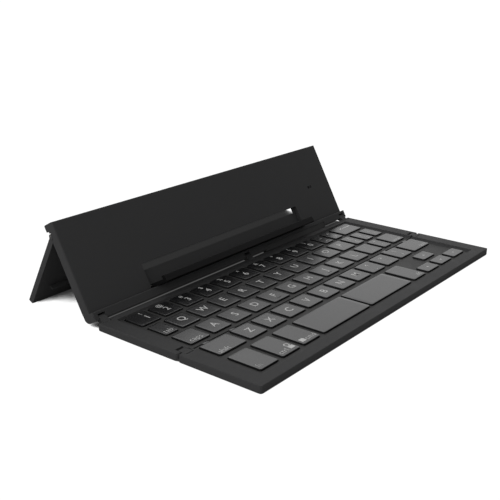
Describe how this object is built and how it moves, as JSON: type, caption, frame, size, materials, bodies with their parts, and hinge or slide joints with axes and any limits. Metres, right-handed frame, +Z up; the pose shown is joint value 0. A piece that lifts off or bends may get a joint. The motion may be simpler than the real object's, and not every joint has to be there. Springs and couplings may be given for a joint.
{
  "type": "folding keyboard",
  "caption": "Slim folding keyboard: two hinged key panels and a leaning stand panel with a fold-out phone ledge and a rear leg.",
  "frame": {"origin": "centre of the keyboard's footprint when it stands open, on the surface that its rubber feet rest on", "axes": "+X to the typist's right along the keyboard, +Y to the rear towards the leg, +Z up"},
  "size_m": [0.227, 0.1568, 0.0499],
  "materials": {
    "case": "fine matte moulded plastic",
    "deck": "smooth satin plastic",
    "keys": "satin key caps with light legends",
    "rubber": "soft matte rubber",
    "domes": "translucent silicone",
    "board": "circuit board with green mask",
    "battery": "foil pouch",
    "steel": "plain steel",
    "light": "clear light guide"
  },
  "bodies": {
    "rear_panel": {"rear_tray": "case", "rear_deck": "deck", "rear_board": "board", "rear_domes": "domes", "rear_feet": "rubber"},
    "seam_links": {"seam_links": "case", "seam_link_pins": "steel"},
    "front_panel": {"front_tray": "case", "front_deck": "deck", "front_board": "board", "front_domes": "domes", "front_feet": "rubber"},
    "stand_links": {"stand_links": "case", "stand_link_pins": "steel"},
    "stand_panel": {"stand_shell": "case", "stand_back": "case", "cable_cover": "rubber", "battery": "battery", "main_board": "board", "charging_port": "steel", "status_light": "light"},
    "ledge": {"ledge": "case", "ledge_pins": "steel"},
    "leg": {"leg": "case", "leg_pin": "steel", "leg_strip": "rubber"},
    "key_fn": {"key_fn": "keys"},
    "key_ctrl": {"key_ctrl": "keys"},
    "key_cmd": {"key_cmd": "keys"},
    "key_space_left": {"key_space_left": "keys"},
    "key_space_right": {"key_space_right": "keys"},
    "key_alt": {"key_alt": "keys"},
    "key_left": {"key_left": "keys"},
    "key_down": {"key_down": "keys"},
    "key_right": {"key_right": "keys"},
    "key_up": {"key_up": "keys"},
    "key_shift_left": {"key_shift_left": "keys"},
    "key_shift_right": {"key_shift_right": "keys"},
    "key_caps": {"key_caps": "keys"},
    "key_enter": {"key_enter": "keys"},
    "key_tab": {"key_tab": "keys"},
    "key_delete": {"key_delete": "keys"},
    "keys_lower_row": {"keys_lower_row": "keys"},
    "keys_home_row": {"keys_home_row": "keys"},
    "keys_upper_row": {"keys_upper_row": "keys"},
    "keys_number_row": {"keys_number_row": "keys"}
  },
  "joints": [
    {"name": "seam_link_turn", "type": "hinge", "parent": "rear_panel", "child": "seam_links", "pos_m": [0, -0.0291, 0.00295], "axis": [-1, 0, 0], "range_deg": [0, 90]},
    {"name": "front_panel_turn", "type": "hinge", "parent": "seam_links", "child": "front_panel", "pos_m": [0, -0.0313, 0.00295], "axis": [-1, 0, 0], "range_deg": [0, 90]},
    {"name": "stand_link_turn", "type": "hinge", "parent": "rear_panel", "child": "stand_links", "pos_m": [0, 0.0226, 0.00295], "axis": [1, 0, 0], "range_deg": [0, 48]},
    {"name": "stand_panel_turn", "type": "hinge", "parent": "stand_links", "child": "stand_panel", "pos_m": [0, 0.02648, 0.00451], "axis": [1, 0, 0], "range_deg": [0, 71]},
    {"name": "ledge_turn", "type": "hinge", "parent": "stand_panel", "child": "ledge", "pos_m": [0, 0.0311, 0.00778], "axis": [-1, 0, 0], "range_deg": [0, 90]},
    {"name": "leg_turn", "type": "hinge", "parent": "stand_panel", "child": "leg", "pos_m": [0, 0.05473, 0.0419], "axis": [-1, 0, 0], "range_deg": [0, 57.7]},
    {"name": "press_fn", "type": "slide", "parent": "front_panel", "child": "key_fn", "axis": [0, 0, -1], "range_m": [0, 0.0009], "stiffness_N_per_m": 400},
    {"name": "press_ctrl", "type": "slide", "parent": "front_panel", "child": "key_ctrl", "axis": [0, 0, -1], "range_m": [0, 0.0009], "stiffness_N_per_m": 400},
    {"name": "press_cmd", "type": "slide", "parent": "front_panel", "child": "key_cmd", "axis": [0, 0, -1], "range_m": [0, 0.0009], "stiffness_N_per_m": 400},
    {"name": "press_space_left", "type": "slide", "parent": "front_panel", "child": "key_space_left", "axis": [0, 0, -1], "range_m": [0, 0.0009], "stiffness_N_per_m": 400},
    {"name": "press_space_right", "type": "slide", "parent": "front_panel", "child": "key_space_right", "axis": [0, 0, -1], "range_m": [0, 0.0009], "stiffness_N_per_m": 400},
    {"name": "press_alt", "type": "slide", "parent": "front_panel", "child": "key_alt", "axis": [0, 0, -1], "range_m": [0, 0.0009], "stiffness_N_per_m": 400},
    {"name": "press_left", "type": "slide", "parent": "front_panel", "child": "key_left", "axis": [0, 0, -1], "range_m": [0, 0.0009], "stiffness_N_per_m": 400},
    {"name": "press_down", "type": "slide", "parent": "front_panel", "child": "key_down", "axis": [0, 0, -1], "range_m": [0, 0.0009], "stiffness_N_per_m": 400},
    {"name": "press_right", "type": "slide", "parent": "front_panel", "child": "key_right", "axis": [0, 0, -1], "range_m": [0, 0.0009], "stiffness_N_per_m": 400},
    {"name": "press_up", "type": "slide", "parent": "front_panel", "child": "key_up", "axis": [0, 0, -1], "range_m": [0, 0.0009], "stiffness_N_per_m": 400},
    {"name": "press_shift_left", "type": "slide", "parent": "front_panel", "child": "key_shift_left", "axis": [0, 0, -1], "range_m": [0, 0.0009], "stiffness_N_per_m": 400},
    {"name": "press_shift_right", "type": "slide", "parent": "front_panel", "child": "key_shift_right", "axis": [0, 0, -1], "range_m": [0, 0.0009], "stiffness_N_per_m": 400},
    {"name": "press_caps", "type": "slide", "parent": "rear_panel", "child": "key_caps", "axis": [0, 0, -1], "range_m": [0, 0.0009], "stiffness_N_per_m": 400},
    {"name": "press_enter", "type": "slide", "parent": "rear_panel", "child": "key_enter", "axis": [0, 0, -1], "range_m": [0, 0.0009], "stiffness_N_per_m": 400},
    {"name": "press_tab", "type": "slide", "parent": "rear_panel", "child": "key_tab", "axis": [0, 0, -1], "range_m": [0, 0.0009], "stiffness_N_per_m": 400},
    {"name": "press_delete", "type": "slide", "parent": "rear_panel", "child": "key_delete", "axis": [0, 0, -1], "range_m": [0, 0.0009], "stiffness_N_per_m": 400},
    {"name": "press_lower_row", "type": "slide", "parent": "front_panel", "child": "keys_lower_row", "axis": [0, 0, -1], "range_m": [0, 0.0009], "stiffness_N_per_m": 4000},
    {"name": "press_home_row", "type": "slide", "parent": "rear_panel", "child": "keys_home_row", "axis": [0, 0, -1], "range_m": [0, 0.0009], "stiffness_N_per_m": 4400},
    {"name": "press_upper_row", "type": "slide", "parent": "rear_panel", "child": "keys_upper_row", "axis": [0, 0, -1], "range_m": [0, 0.0009], "stiffness_N_per_m": 5200},
    {"name": "press_number_row", "type": "slide", "parent": "rear_panel", "child": "keys_number_row", "axis": [0, 0, -1], "range_m": [0, 0.0009], "stiffness_N_per_m": 4800}
  ],
  "couplings": [
    {"joint": "front_panel_turn", "follows": "seam_link_turn", "ratio": 1},
    {"joint": "stand_panel_turn", "follows": "stand_link_turn", "ratio": 1.4792},
    {"joint": "ledge_turn", "follows": "stand_link_turn", "ratio": 1.875}
  ]
}
